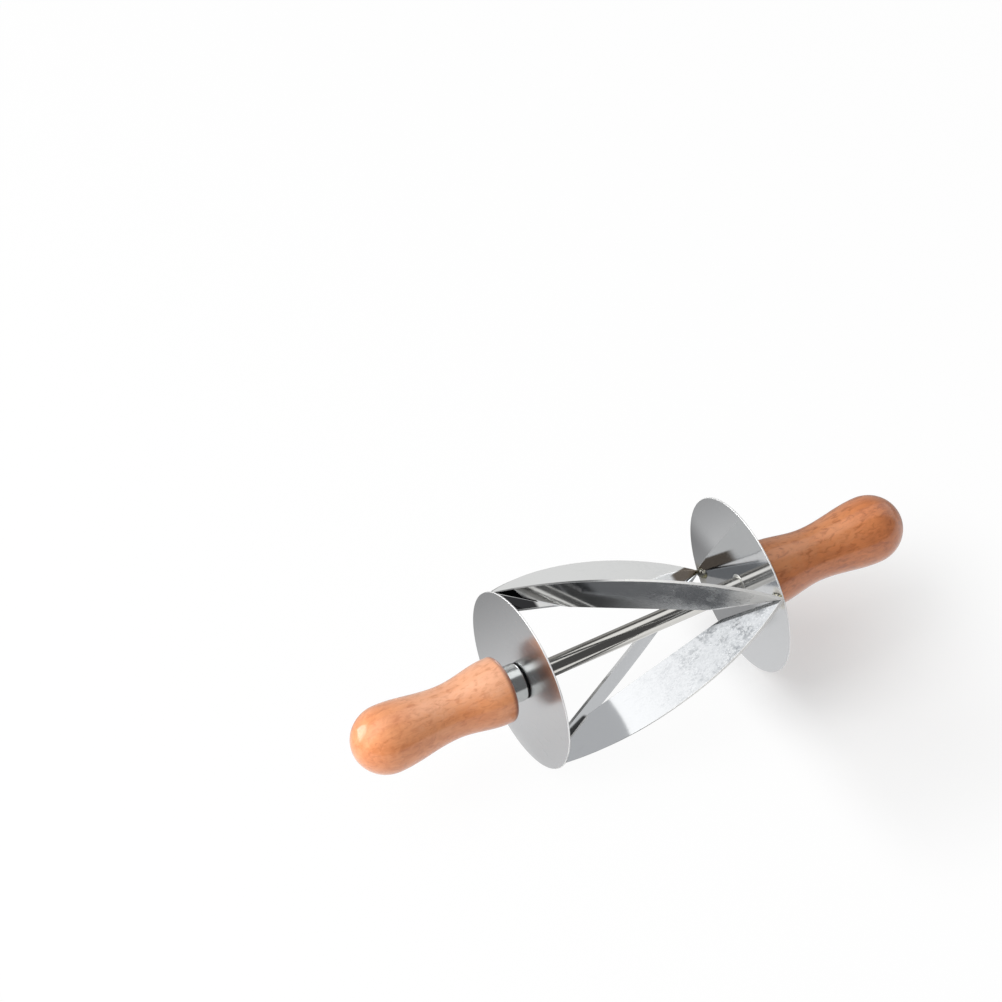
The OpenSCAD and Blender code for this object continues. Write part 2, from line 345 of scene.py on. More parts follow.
@dataclass(frozen=True)
class SheetSteel(Finish):
    """Rolled zinc-bright sheet of a blade, with frosty flakes, scratches, heat marks and ground edges, and where
    set a painted dark corner and a painted light haze.
    """

    tone: Colour = (0.63, 0.64, 0.65)
    roughness: float = 0.045
    frost: float = 1.0
    lean: float = 0.045
    scorch: float = 0.0
    heat: float = 0.0
    painted_haze: float = 0.0
    rim: float = 42.8
    inner_edge: float = 20.7
    end_line: float = 0.0
    end_slope: float = 0.32
    frost_shade: Colour = (0.78, 0.79, 0.80)
    flake_shade: Colour = (0.80, 0.81, 0.82)
    speck_shade: Colour = (0.72, 0.73, 0.74)
    glint_tone: Colour = (0.70, 0.71, 0.715)
    scratch_shade: Colour = (0.72, 0.72, 0.74)
    scorch_shade: Colour = (0.03, 0.03, 0.033)
    heat_shade: Colour = (0.17, 0.14, 0.115)
    painted_haze_tone: Colour = (0.80, 0.795, 0.775)
    ground_tone: Colour = (0.88, 0.875, 0.86)

    def paint(self, graph: Graph) -> None:
        """Lay flakes, rolling lines, scratches, heat marks and ground edges, and where set a painted dark corner
        and a painted light haze.

        Args:
            graph: The material's graph.
        """
        plane = graph.sheet_place((1.0, 1.0, 0.0))
        along, out = graph.axis(plane, "X"), graph.axis(plane, "Y")
        flake = graph.cells(graph.sheet_place((0.5, 0.75, 0.0), (3.1, 7.7, 0.0)), feature="SMOOTH_F1")
        speck = graph.cells(graph.sheet_place((1.3, 1.7, 0.0), (1.7, 0.4, 0.0)))
        patch = graph.clouds(plane, 3.0, 0.5, 0.11).ramp(0.36, 0.62, 0.35, 1.0)
        grown = along.ramp(-26.0, 44.0, 0.04, 1.0)
        amount = self.frost * patch * grown
        rolled = graph.clouds(graph.sheet_place((0.05, 3.2, 0.0)))
        scratch = graph.clouds(graph.sheet_place((0.09, 5.5, 0.0), (0.0, 4.0, 9.0)), 1.0).ramp(0.71, 0.77)
        lean = graph.vector("ADD", {0: flake, 1: speck})
        lean = graph.vector("SUBTRACT", {0: lean, 1: EVEN})
        lean = graph.vector("SCALE", {0: lean, "Scale": self.lean * amount})
        upright = graph.node("ShaderNodeNewGeometry", output="Normal")
        tilted = graph.vector("ADD", {0: upright, 1: lean})
        tilted = graph.vector("NORMALIZE", {0: tilted})
        shine = graph.axis(flake, "X")
        glint = graph.axis(speck, "Y")
        sheet = graph.tint(self.frost * grown, self.tone, self.frost_shade)
        sheet = graph.tint(amount * shine.ramp(0.3, 0.75), sheet, self.flake_shade)
        sheet = graph.tint(amount * graph.axis(speck, "X").ramp(0.45, 0.9), sheet, self.speck_shade)
        sheet = graph.blend(0.6 * amount * glint.ramp(0.7, 0.95), sheet, self.glint_tone)
        sheet = graph.tint(0.5 * scratch, sheet, self.scratch_shade)
        # Painted shade: a near-black triangle by the left end's inner edge, standing for shade and a dark
        # reflection there.
        inward = out + 0.35 * along
        corner_shade_share = self.scorch * along.ramp(-42.0, -45.0) * inward.ramp(9.2, 8.6)
        sheet = graph.tint(corner_shade_share, sheet, self.scorch_shade)
        past_end = out - self.end_slope * along
        heated = self.heat * along.ramp(45.0, 49.0) * past_end.ramp(15.2, 14.4)
        sheet = graph.tint(heated, sheet, self.heat_shade)
        # Painted light: a paler tone growing towards the right tip stands for light reflected there; the lower
        # metallic and higher roughness that go with it are part of the surface.
        painted_haze_start = along.ramp(-25.0, 20.0) * (0.07 + 0.11 * glint * patch)
        painted_haze = self.painted_haze * (painted_haze_start + 0.9 * along.ramp(32.0, 54.0)).least(1.0)
        sheet = graph.blend(painted_haze, sheet, self.painted_haze_tone)
        point = graph.place((0.0, 1.0, 1.0))
        ground = graph.vector("LENGTH", {0: point}, "Value")
        ground = ground.ramp(self.rim, self.rim + 0.1) * along.ramp(-30.0, 0.0, 0.2, 1.0)
        before_end = out + self.end_slope * along
        ground = ground.most(self.end_line * along.ramp(-37.0, -38.0) * before_end.ramp(9.7, 9.5))
        ground = ground.most(0.5 * out.ramp(self.inner_edge + 0.2, self.inner_edge + 0.05))
        sheet = graph.blend(ground, sheet, self.ground_tone)
        rough = self.roughness + amount * (0.14 + 0.26 * shine) + 0.04 * rolled + 0.12 * scratch
        graph.surface({
            "Base Color": sheet,
            "Metallic": 1 - 0.8 * painted_haze.most(0.9 * ground),
            "Roughness": rough + 0.15 * painted_haze + 0.2 * ground,
            "Normal": graph.relief(0.4 * rolled - 0.3 * scratch, FINE_RELIEF, 0.3, tilted),
        })


@dataclass(frozen=True)
class DiscSteel(Finish):
    """Disc sheet, satin outside and brighter inside, with a ground rim and heat tint beside the welds."""

    tone: Colour = (0.60, 0.607, 0.618)
    outer_roughness: float = 0.23
    inner_roughness: float = 0.07
    middle: float = 58.0
    rim: float = 42.8
    weld_places: tuple[Span, ...] = ()
    scratch_shade: Colour = (0.7, 0.7, 0.72)
    straw_shade: Colour = (0.90, 0.84, 0.68)
    dark_shade: Colour = (0.62, 0.58, 0.54)
    ground_tone: Colour = (0.90, 0.90, 0.90)

    def paint(self, graph: Graph) -> None:
        """Lay satin grain, stray scratches, the ground rim and heat tint.

        Args:
            graph: The material's graph.
        """
        point = graph.place()
        flat = graph.vector("MULTIPLY", {0: point, 1: (0.0, 1.0, 1.0)})
        out = graph.vector("LENGTH", {0: flat}, "Value")
        outer = abs(graph.axis(point, "X")).ramp(self.middle - 0.2, self.middle + 0.2)
        ground = out.ramp(self.rim - 0.1, self.rim + 0.1)
        satin = graph.clouds(graph.place((1.0, 0.25, 7.0)))
        cloud = graph.clouds(point, 3.0, 0.5, 0.06)
        scratch = graph.clouds(graph.place((1.0, 0.12, 4.2), (0.0, 3.0, 8.0)), 1.0).ramp(0.71, 0.77)
        speck = graph.cells(graph.place((1.0, 0.9, 0.9)), "Distance").ramp(0.16, 0.06)
        steel = graph.tint(0.25 * scratch + 0.15 * speck, self.tone, self.scratch_shade)
        heat: Shade | None = None
        for across, up in self.weld_places:
            inputs = {0: flat, 1: (0.0, across, up)}
            away = graph.vector("DISTANCE", inputs, "Value")
            near = (away + 3.0 * (cloud - 0.5)).ramp(7.0, 2.0)
            heat = near if heat is None else heat.most(near)
        if heat is not None:
            inside = 1 - outer
            steel = graph.tint(0.45 * heat.ramp(0.05, 0.5) * inside, steel, self.straw_shade)
            steel = graph.tint(0.6 * heat.ramp(0.5, 0.85) * inside, steel, self.dark_shade)
        steel = graph.blend(ground, steel, self.ground_tone)
        rough = self.inner_roughness + (self.outer_roughness - self.inner_roughness) * outer
        rough = rough + 0.04 * satin + 0.04 * cloud - 0.03 + 0.08 * scratch
        graph.surface({
            "Base Color": steel,
            "Metallic": 1 - 0.7 * ground,
            "Roughness": rough.most(0.34 * ground),
            "Normal": graph.relief(0.5 * satin - 0.6 * scratch + 0.25 * cloud, FINE_RELIEF, 0.3),
        })


@dataclass(frozen=True)
class PolishedBar(Finish):
    """Drawn bar with lengthwise polishing lines."""

    tone: Colour = (0.70, 0.69, 0.66)
    line_shade: Colour = (0.78, 0.76, 0.72)
    roughness: float = 0.12

    def paint(self, graph: Graph) -> None:
        """Lay drawn lines and a few rubbed rings.

        Args:
            graph: The material's graph.
        """
        drawn = graph.clouds(graph.place((0.03, 3.5, 3.5)))
        cloud = graph.clouds(graph.place((0.12, 0.3, 0.3)))
        rubbed = graph.clouds(graph.place((2.4, 0.05, 0.05)), 1.0).ramp(0.62, 0.74)
        steel = graph.tint(0.25 * drawn.ramp(0.45, 0.75) + 0.2 * rubbed, self.tone, self.line_shade)
        graph.surface({
            "Base Color": steel,
            "Metallic": 1.0,
            "Roughness": self.roughness + 0.08 * drawn + 0.06 * cloud - 0.05 + 0.08 * rubbed,
            "Normal": graph.relief(0.6 * drawn + 0.3 * rubbed, FINE_RELIEF, 0.35),
        })


@dataclass(frozen=True)
class PlatedCap(Finish):
    """Bright plating on the drawn ferrules and the bushes."""

    tone: Colour = (0.77, 0.79, 0.775)
    roughness: float = 0.12
    pit_shade: Colour = (0.66, 0.68, 0.70)

    def paint(self, graph: Graph) -> None:
        """Lay turning lines, small pits and haze.

        Args:
            graph: The material's graph.
        """
        ringed = graph.clouds(graph.place((3.2, 0.06, 0.06)))
        haze = graph.clouds(graph.place((0.35, 0.35, 0.35)), 3.0)
        pit = graph.cells(graph.place((1.1, 1.1, 1.1)), "Distance").ramp(0.14, 0.05)
        plate = graph.tint(0.4 * pit + 0.25 * haze.ramp(0.5, 0.75), self.tone, self.pit_shade)
        graph.surface({
            "Base Color": plate,
            "Metallic": 1.0,
            "Roughness": self.roughness + 0.1 * haze + 0.05 * ringed - 0.05 + 0.15 * pit,
            "Normal": graph.relief(0.5 * ringed - 0.5 * pit, FINE_RELIEF, 0.4),
        })


@dataclass(frozen=True)
class HeatedBead(Finish):
    """Weld metal: grey steel with straw, olive and dark heat colours."""

    tone: Colour = (0.21, 0.205, 0.18)
    olive: Colour = (0.24, 0.225, 0.125)
    dark: Colour = (0.05, 0.05, 0.055)
    depth: float = 0.00015

    def paint(self, graph: Graph) -> None:
        """Lay heat colours and a rippled skin.

        Args:
            graph: The material's graph.
        """
        skin = graph.clouds(graph.place((1.2, 1.2, 1.2)), 3.0, 0.5)
        bands = graph.clouds(graph.place((0.45, 0.45, 0.45)), 1.0)
        bead = graph.blend(bands.ramp(0.42, 0.62), self.tone, self.olive)
        bead = graph.blend(0.8 * skin.ramp(0.50, 0.72), bead, self.dark)
        graph.surface({
            "Base Color": bead,
            "Metallic": 0.9,
            "Roughness": 0.28 + 0.2 * skin,
            "Normal": graph.relief(skin, self.depth, 0.6),
        })


@dataclass(frozen=True)
class BlackNylon(Finish):
    """Moulded black washer."""

    tone: Colour = (0.012, 0.012, 0.013)
    rubbed_tone: Colour = (0.035, 0.035, 0.037)
    depth: float = 0.00003

    def paint(self, graph: Graph) -> None:
        """Lay a fine moulded grain and rubbed patches.

        Args:
            graph: The material's graph.
        """
        grain = graph.clouds(graph.place((2.6, 2.6, 2.6)))
        rubbed = graph.clouds(graph.place((0.4, 0.4, 0.4))).ramp(0.5, 0.7)
        graph.surface({
            "Base Color": graph.blend(0.5 * rubbed, self.tone, self.rubbed_tone),
            "Roughness": 0.5 + 0.2 * grain - 0.12 * rubbed,
            "Normal": graph.relief(grain, self.depth, 0.4),
        })


@dataclass(frozen=True)
class TurnedBrass(Finish):
    """Turned insert inside a handle."""

    tone: Colour = (0.62, 0.42, 0.16)
    dull_shade: Colour = (0.7, 0.62, 0.5)
    depth: float = 0.00002

    def paint(self, graph: Graph) -> None:
        """Lay turning lines and dull patches.

        Args:
            graph: The material's graph.
        """
        ringed = graph.clouds(graph.place((4.0, 0.05, 0.05)))
        dull = graph.clouds(graph.place((0.3, 0.3, 0.3)), 3.0).ramp(0.45, 0.7)
        graph.surface({
            "Base Color": graph.tint(0.5 * dull, self.tone, self.dull_shade),
            "Metallic": 1.0,
            "Roughness": 0.22 + 0.15 * dull + 0.08 * ringed,
            "Normal": graph.relief(ringed, self.depth, 0.5),
        })


@dataclass(frozen=True)
class PaleWorktop(Finish):
    """Pale worktop: white to the camera with a soft shadow, and with painted shade and shadows in the tone that
    mirrors show.
    """

    glow: float = 0.96
    shaded_glow: float = 0.48
    mirror_glow: float = 0.8
    left_disc: float = -58.0
    pale: Colour = (0.94, 0.94, 0.94)
    fibre: Colour = (0.91, 0.91, 0.905)

    def paint(self, graph: Graph) -> None:
        """Mix a pale matt sheet with a white glow.

        Args:
            graph: The material's graph.
        """
        point = graph.place()
        paper = graph.clouds(point, scale=0.02)
        across, ahead = graph.axis(point, "X"), graph.axis(point, "Y")
        # Painted shade for mirrors: the worktop seen in mirrors darkens far in front and behind, a little left of
        # the left disc, strongly under the cage's front right of the left disc as a painted shadow of that disc,
        # and in a patch towards the back right.
        lit = ahead.ramp(-900.0, -220.0, 0.08, 1.0) * ahead.ramp(20.0, 110.0, 1.0, 0.45)
        lit = lit * across.ramp(self.left_disc - 4.0, self.left_disc, 0.86, 1.0)
        inside = across.ramp(self.left_disc - 1.0, self.left_disc + 1.0) * ahead.ramp(-70.0, -45.0)
        below_front = across.ramp(-30.0, 40.0, 1.0, 0.0) * ahead.ramp(-10.0, -18.0)
        below_point = across.ramp(-21.5, -23.5) * (ahead - 0.6 * across).ramp(8.5, 9.3) * ahead.ramp(9.0, 6.0)
        under = inside * below_front.most(below_point)
        lit = lit * (1 - 0.93 * under) * (1 - 0.5 * across.ramp(28.0, 38.0) * ahead.ramp(4.0, 14.0))
        seen, mirrored, through = graph.rays()
        white = graph.blend(mirrored, WHITE, graph.blend(lit, BLACK, WHITE))
        pale = graph.blend(0.3 * paper, self.pale, self.fibre)
        sheet = graph.node("ShaderNodeBsdfDiffuse", inputs={"Color": graph.tint(1.0, pale, white)})
        glow = graph.node("ShaderNodeEmission", inputs={"Color": white, "Strength": 1.0})
        # The glow gives way in a zone right of the right disc, set by place, so the rendered shadow shows there;
        # the floor there is also a little darker where no shadow falls, which is painted shade.
        shaded = across.ramp(36.0, 72.0) * across.ramp(210.0, 85.0)
        shaded = shaded * ahead.ramp(-190.0, -90.0) * ahead.ramp(56.0, 8.0)
        share = (self.glow - (self.glow - self.shaded_glow) * shaded) * seen.most(through)
        share = share.most(self.mirror_glow * mirrored)
        shader = graph.node("ShaderNodeMixShader", inputs={0: share, 1: sheet, 2: glow})
        graph.node("ShaderNodeOutputMaterial", inputs={"Surface": shader})


def rounded(centre: ProfilePoint, reach: Span, start: float, end: float, steps: int) -> list[ProfilePoint]:
    """Arc of an ellipse in a turned profile, by angles in degrees from 0 along the rod to 90 outwards."""
    turns = [math.radians(start + (end - start) * i / steps) for i in range(steps + 1)]
    return [(centre[0] + reach[0] * math.cos(t), centre[1] + reach[1] * math.sin(t)) for t in turns]


def near_edge(face: float, radius: float, size: float, steps: int) -> list[ProfilePoint]:
    """Rounded edge from a face on the cage's side up to an outer radius."""
    return rounded((face + size, radius - size), (size, size), 180.0, 90.0, steps)


def far_edge(face: float, radius: float, size: float, steps: int) -> list[ProfilePoint]:
    """Rounded edge from an outer radius down to a face on the hand's side."""
    return rounded((face - size, radius - size), (size, size), 90.0, 0.0, steps)


def swept(start: ProfilePoint, end: ProfilePoint, steps: int) -> list[ProfilePoint]:
    """Smooth S-shaped stretch of a turned profile.

    Args:
        start: First point as along and radius.
        end: Last point.
        steps: Number of stretches.

    Returns:
        The points after the first.
    """
    shares = [i / steps for i in range(1, steps + 1)]
    return [
        (start[0] + s * (end[0] - start[0]), start[1] + (1 - math.cos(math.pi * s)) / 2 * (end[1] - start[1]))
        for s in shares
    ]


def turned_mesh(name: str, profile: Sequence[ProfilePoint], side: Side, segments: int) -> bpy.types.Mesh:
    """Revolve a profile about the rod.

    Args:
        name: The mesh's name.
        profile: Closed outline as along and radius points in millimetres; points on the axis become poles.
        side: End of the rod that the piece sits on.
        segments: Number of steps round the rod.

    Returns:
        The closed mesh, smooth between sharp edges.
    """
    mesh = bpy.data.meshes.new(name)
    work = bmesh.new()
    rings: list[list[bmesh.types.BMVert]] = []
    for along, radius in profile:
        count = segments if radius > ON_AXIS else 1
        turns = [2 * math.pi * i / segments for i in range(count)]
        places = [(side.value * along, radius * math.cos(t), radius * math.sin(t)) for t in turns]
        rings.append([work.verts.new(Vector(p) * MM) for p in places])
    for first, second in zip(rings, rings[1:] + rings[:1]):
        for i in range(segments):
            corners = [first[i % len(first)], first[(i + 1) % len(first)]]
            corners += [second[(i + 1) % len(second)], second[i % len(second)]]
            distinct = list(dict.fromkeys(corners))
            if len(distinct) > 2:
                work.faces.new(distinct)
    return closed_mesh(mesh, work)


def closed_mesh(mesh: bpy.types.Mesh, work: bmesh.types.BMesh, sharp_degrees: float = 28.0) -> bpy.types.Mesh:
    """Write a working mesh out with outward normals and smooth shading.

    Args:
        mesh: The mesh to fill.
        work: The working mesh, which is freed.
        sharp_degrees: Angle above which an edge stays sharp.

    Returns:
        The filled mesh.
    """
    bmesh.ops.recalc_face_normals(work, faces=work.faces)
    work.to_mesh(mesh)
    work.free()
    mesh.shade_smooth()
    mesh.set_sharp_from_angle(angle=math.radians(sharp_degrees))
    return mesh


@dataclass
class SubAssembly:
    """Base of the roller's pieces: a body that it rides on."""

    body: ClassVar[str] = "grip"

    def place(self, mesh: bpy.types.Mesh, finish: Finish, node: str, slot: str) -> None:
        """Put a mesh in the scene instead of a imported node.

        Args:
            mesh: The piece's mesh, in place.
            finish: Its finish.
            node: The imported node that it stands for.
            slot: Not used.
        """
        piece = bpy.data.objects.new(mesh.name, mesh)
        bpy.context.scene.collection.objects.link(piece)
        mesh.materials.append(finish.material())
        evened = piece.modifiers.new("even_shading", "WEIGHTED_NORMAL")
        evened.keep_sharp = True
        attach(piece, self.body)
        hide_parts(node)
        LOG.info("%s stands for %s on %s, %d faces", piece.name, node, self.body, len(mesh.polygons))


@dataclass
class AxleRod(SubAssembly):
    """Polished rod through the cage into both handles."""

    radius: float = 4.5
    half_length: float = 85.0
    end_bevel: float = 0.6
    stretches: int = 24
    segments: int = 96
    finish: Finish = PolishedBar("polished_bar")

    def build(self) -> bpy.types.Mesh:
        """Turn the rod.

        Returns:
            Its mesh.
        """
        shank = self.half_length - self.end_bevel
        neck = self.radius - self.end_bevel
        right = [(shank, self.radius), (self.half_length, neck), (self.half_length, 0.0)]
        left = [(-along, radius) for along, radius in reversed(right)]
        between = [(-shank + 2 * shank * i / self.stretches, self.radius) for i in range(1, self.stretches)]
        return turned_mesh("rod_polished", left + between + right, Side.RIGHT, self.segments)

    def dress(self) -> None:
        """Place the rod."""
        self.place(self.build(), self.finish, "axle_rod", "rod_steel")


@dataclass
class TurnedPiece(SubAssembly):
    """Piece turned about the rod, of which each end of the roller has one."""

    side: Side
    finish: Finish
    node: ClassVar[str]
    made: ClassVar[str]
    slot: ClassVar[str]
    segments: ClassVar[int] = 96

    def profile(self) -> list[ProfilePoint]:
        """Closed outline as along and radius points; each piece has its own."""
        raise NotImplementedError

    def build(self) -> bpy.types.Mesh:
        """Turn the piece."""
        return turned_mesh(f"{self.side.word}_{self.made}", self.profile(), self.side, self.segments)

    def dress(self) -> None:
        """Place the piece."""
        self.place(self.build(), self.finish, f"{self.side.word}_{self.node}", self.slot.format(self.side.word))


@dataclass
class Handle(TurnedPiece):
    """Turned wooden handle with a tenon, a rounded shoulder, a waist and a knob."""

    node: ClassVar[str] = "handle"
    made: ClassVar[str] = "handle_turned"
    slot: ClassVar[str] = "{}_wood"
    segments: ClassVar[int] = 144
    start: float = 67.4
    tenon_start: float = 60.0
    tenon_radius: float = 8.07
    hole_radius: float = 6.33
    hole_end: float = 86.5
    length: float = 76.6
    shoulder_radius: float = 15.8
    shoulder_round: float = 2.2
    shoulder_length: float = 3.6
    waist_radius: float = 12.8
    waist_distance: float = 28.6
    knob_radius: float = 16.0
    dome_length: float = 16.7
    dome_degrees: Span = (88.0, 2.0)

    def profile(self) -> list[ProfilePoint]:
        """Outline from the tenon over shoulder, waist and knob to the hole.

        Returns:
            Its points.
        """
        shoulder = (self.start + self.shoulder_length, self.shoulder_radius)
        waist = (self.start + self.waist_distance, self.waist_radius)
        knob = (self.start + self.length - self.dome_length, self.knob_radius)
        outline = [(self.tenon_start, self.hole_radius), (self.tenon_start, self.tenon_radius)]
        outline += [(self.start, self.tenon_radius)]
        outline += near_edge(self.start, self.shoulder_radius, self.shoulder_round, 14)
        outline += [shoulder, *swept(shoulder, waist, 36), *swept(waist, knob, 40)]
        outline += rounded((knob[0], 0.0), (self.dome_length, self.knob_radius), *self.dome_degrees, 40)
        return [*outline, (self.start + self.length, 0.0), (self.hole_end, 0.0), (self.hole_end, self.hole_radius)]


@dataclass
class Ferrule(TurnedPiece):
    """Drawn cap over a handle's tenon, with a rolled lip at each end."""

    node: ClassVar[str] = "ferrule"
    made: ClassVar[str] = "ferrule_drawn"
    slot: ClassVar[str] = "ferrule_chrome"
    segments: ClassVar[int] = 128
    start: float = 59.1
    length: float = 8.3
    radius: float = 9.0
    wall: float = 0.9
    edge_round: float = 0.8
    lip_round: float = 0.35
    bore_radius: float = 4.53
    finish: Finish = PlatedCap("bright_plating")

    def profile(self) -> list[ProfilePoint]:
        """Outline of the cap's wall.

        Returns:
            Its points.
        """
        inner, end = self.radius - self.wall, self.start + self.length
        outline = [(self.start, self.bore_radius), *near_edge(self.start, self.radius, self.edge_round, 10)]
        outline += far_edge(end, self.radius, self.lip_round, 5)
        return [*outline, (end, inner), (self.start + self.wall, inner), (self.start + self.wall, self.bore_radius)]


@dataclass
class ThrustWasher(TurnedPiece):
    """Black washer between a ferrule and the cage."""

    node: ClassVar[str] = "thrust_washer"
    made: ClassVar[str] = "washer_moulded"
    slot: ClassVar[str] = "washer_plastic"
    start: float = 58.8
    thickness: float = 0.3
    bore_radius: float = 4.55
    radius: float = 8.7
    edge_round: float = 0.1
    finish: Finish = BlackNylon("black_nylon")

    def profile(self) -> list[ProfilePoint]:
        """Outline of the washer.

        Returns:
            Its points.
        """
        end = self.start + self.thickness
        outline = [(self.start, self.bore_radius), *near_edge(self.start, self.radius, self.edge_round, 4)]
        return [*outline, *far_edge(end, self.radius, self.edge_round, 4), (end, self.bore_radius)]


@dataclass
class HubBush(TurnedPiece):
    """Flanged bush pressed through a disc."""

    body: ClassVar[str] = "cage"
    node: ClassVar[str] = "hub_bush"
    made: ClassVar[str] = "bush_turned"
    slot: ClassVar[str] = "bush_steel"
    inner_x: float = 57.4
    disc_x: float = 58.4
    flange_x: float = 58.7
    bore_radius: float = 4.55
    radius: float = 5.55
    flange_radius: float = 7.0
    edge_round: float = 0.12
    finish: Finish = PlatedCap("bush_steel", (0.60, 0.607, 0.618), 0.08)

    def profile(self) -> list[ProfilePoint]:
        """Outline of the bush and its flange.

        Returns:
            Its points.
        """
        outline = [(self.inner_x, self.bore_radius), *near_edge(self.inner_x, self.radius, self.edge_round, 4)]
        outline += [(self.disc_x, self.radius), (self.disc_x, self.flange_radius)]
        outline += far_edge(self.flange_x, self.flange_radius, self.edge_round, 4)
        return [*outline, (self.flange_x, self.bore_radius)]


@dataclass
class EndDisc(TurnedPiece):
    """Stamped disc at one end of the cage."""

    body: ClassVar[str] = "cage"
    node: ClassVar[str] = "disc"
    made: ClassVar[str] = "disc_stamped"
    slot: ClassVar[str] = "disc_steel"
    segments: ClassVar[int] = 256
    inner_x: float = 57.6
    outer_x: float = 58.4
    radius: float = 43.0
    hole_radius: float = 5.58
    edge_round: float = 0.32
    rings: int = 6

    def profile(self) -> list[ProfilePoint]:
        """Outline of the disc, with its faces split into rings.

        Returns:
            Its points.
        """
        width = self.radius - self.edge_round - self.hole_radius
        radii = [self.hole_radius + width * i / self.rings for i in range(self.rings)]
        outline = [(self.inner_x, radius) for radius in radii]
        outline += near_edge(self.inner_x, self.radius, self.edge_round, 5)
        outline += far_edge(self.outer_x, self.radius, self.edge_round, 5)
        return outline + [(self.outer_x, radius) for radius in reversed(radii)]


@dataclass(frozen=True)
class BladeForm:
    """Where a blade stands in the cage and how its left end is cut."""

    middle: float
    slant: float
    square_left: bool
    follows: float
    shift: float = 0.0
    stops_at: "BladeForm | None" = None

    def to_part(self) -> Matrix:
        """Move from the blade's own along, through and out directions to the part's frame.

        Returns:
            The rotation and shift, in millimetres.
        """
        swing = Matrix.Rotation(math.radians(self.middle - 90.0), 4, "X")
        slanted = swing @ Matrix.Rotation(math.radians(self.slant), 4, "Z")
        return slanted @ Matrix.Translation((0.0, self.shift, 0.0))


@dataclass
class Blade(SubAssembly):
    """Flat slanting blade whose outer edge lies on the discs' circle."""

    name: str
    form: BladeForm
    finish: Finish
    body: ClassVar[str] = "cage"
    radius: float = 43.0
    inner_x: float = 57.6
    thickness: float = 1.2
    inner_reach: float = 20.7
    inner_length: float = 74.0
    point_land: float = 0.6
    end_share: float = 1.15
    bevel_width: float = 1.9
    bevel_degrees: float = 17.0
    edge_round: float = 0.16
    rounded_from: float = 35.0
    sharp_degrees: float = 12.0
    least_width: float = 0.01
    steps: int = 160
    bevelled_ends: tuple[float, ...] = (-1.0, 1.0)

    @property
    def point_reach(self) -> float:
        """Distance along the blade from its middle to a point."""
        return math.hypot(self.inner_x, self.radius * math.sin(math.pi / 4))

    def inner_edge(self, along: float) -> float:
        """Distance of the blank's inner edge from the rod.

        Args:
            along: Place along the blade from its middle.

        Returns:
            The distance out from the rod.
        """
        corner = self.inner_length / 2
        rise = self.radius * math.cos(math.pi / 4) - self.point_land - self.inner_reach
        slope = rise / (self.point_reach - corner)
        straight = self.form.square_left and along < 0
        return self.inner_reach if straight else self.inner_reach + slope * max(0.0, abs(along) - corner)

    def outer_edge(self, along: float, through: float) -> float:
        """Distance out at which the sheet meets the discs' circle.

        Args:
            along: Place along the blade.
            through: Place through the sheet's thickness.

        Returns:
            The distance out from the rod.
        """
        turn = math.radians(self.form.slant)
        across = along * math.sin(turn) + (through + self.form.shift) * math.cos(turn)
        return math.sqrt(max(self.radius**2 - across**2, 0.0))

    def build(self) -> bpy.types.Mesh:
        """Cut the blade from its sheet.

        Returns:
            Its mesh, with the place in the sheet kept at each point.
        """
        mesh = bpy.data.meshes.new(f"{self.name}_blade_cut")
        work = bmesh.new()
        corner = self.inner_length / 2
        reach = corner + self.end_share * (self.point_reach - corner)
        alongs = sorted({-reach + 2 * reach * i / self.steps for i in range(self.steps + 1)} | {-corner, corner})
        turn = self.form.to_part()
        half = self.thickness / 2
        columns = []
        for along in alongs:
            low = self.inner_edge(along)
            corners = []
            for through in (-half, half):
                high = max(self.outer_edge(along, through), low + self.least_width)
                corners += [(along, through, low), (along, through, high)]
            columns.append([work.verts.new((turn @ Vector(c)) * MM) for c in corners])
        for first, second in zip(columns, columns[1:]):
            for one, two in ((0, 1), (1, 3), (3, 2), (2, 0)):
                work.faces.new((first[one], first[two], second[two], second[one]))
        for column in (columns[0], columns[-1]):
            work.faces.new((column[0], column[1], column[3], column[2]))
        for point, normal in self.cuts():
            self.cut(work, point, normal)
        self.round_edges(work)
        closed_mesh(mesh, work, self.sharp_degrees)
        back = turn.inverted()
        local = [(back @ (vertex.co / MM)) * MM for vertex in mesh.vertices]
        places = mesh.attributes.new("sheet", "FLOAT_VECTOR", "POINT")
        places.data.foreach_set("vector", [part for p in local for part in (p.x, p.z, p.y)])
        return mesh

    def cuts(self) -> list[tuple[Vector, Vector]]:
        """Planes that trim the sheet.

        Returns:
            A point of each plane and its normal towards what is kept.
        """
        half_turn = math.radians(self.form.follows + 90.0)
        planes = [
            (Vector((self.inner_x, 0, 0)), Vector((-1, 0, 0))),
            (Vector((-self.inner_x, 0, 0)), Vector((1, 0, 0))),
            (Vector(), Vector((0, math.cos(half_turn), math.sin(half_turn)))),
        ]
        if self.form.stops_at is not None:
            other = self.form.stops_at
            near = Vector((0, -math.copysign(1.0, other.slant), 0))
            planes.append((other.to_part() @ (near * (self.thickness / 2)), other.to_part().to_3x3() @ near))
            planes += [self.end_bevel(end) for end in self.bevelled_ends]
        return planes

    def end_bevel(self, end: float) -> tuple[Vector, Vector]:
        """Plane of the bevel along a pointed end, on the face away from the back blade.

        Args:
            end: -1 for the left end, 1 for the right end.

        Returns:
            A point of the plane and its normal towards what is kept.
        """
        corner, run = end * self.inner_length / 2, 10.0
        rise = self.inner_edge(corner + end * run) - self.inner_reach
        away = Vector((end * rise, 0.0, -run)).normalized()
        face = Vector((0.0, math.copysign(1.0, self.form.slant), 0.0))
        start = Vector((corner, 0.0, self.inner_reach)) - away * self.bevel_width + face * (self.thickness / 2)
        tilt = math.radians(self.bevel_degrees)
        keep = -face * math.cos(tilt) - away * math.sin(tilt)
        return self.form.to_part() @ start, self.form.to_part().to_3x3() @ keep

